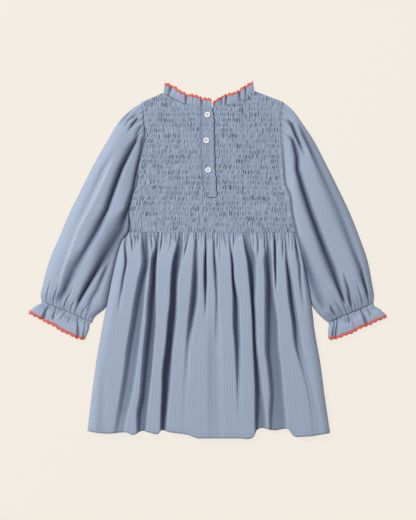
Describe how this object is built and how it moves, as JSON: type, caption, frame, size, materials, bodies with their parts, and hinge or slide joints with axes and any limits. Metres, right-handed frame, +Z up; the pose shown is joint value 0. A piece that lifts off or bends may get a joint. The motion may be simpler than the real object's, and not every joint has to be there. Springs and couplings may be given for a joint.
{
  "type": "child's smocked dress, laid flat",
  "caption": "Child's long-sleeved dress laid flat, with an elastic-smocked bodice, buttoned back slit, gathered skirt and scallop-edged frills at neck and cuffs.",
  "frame": {"origin": "middle of the outline seen from above, on the surface that the dress lies on", "axes": "+Z up from the surface, out of the buttoned back; +Y from the hem towards the neck; +X towards the sleeve on the right of the picture"},
  "size_m": [0.5944, 0.5928, 0.0162],
  "materials": {
    "chambray": "matt woven cotton with a fine tone-on-tone stripe",
    "coral": "matt woven scalloped braid",
    "button_white": "soft gloss"
  },
  "bodies": {
    "root": {"skirt_front": "chambray", "skirt_back": "chambray", "bodice_front": "chambray", "bodice_back": "chambray", "placket_band": "chambray", "button_1": "button_white", "button_2": "button_white", "button_3": "button_white", "sleeve_left": "chambray", "sleeve_right": "chambray", "cuff_left": "chambray", "cuff_right": "chambray", "cuff_trim_left": "coral", "cuff_trim_right": "coral", "neck_ruffle": "chambray", "neck_trim": "coral"}
  },
  "joints": []
}
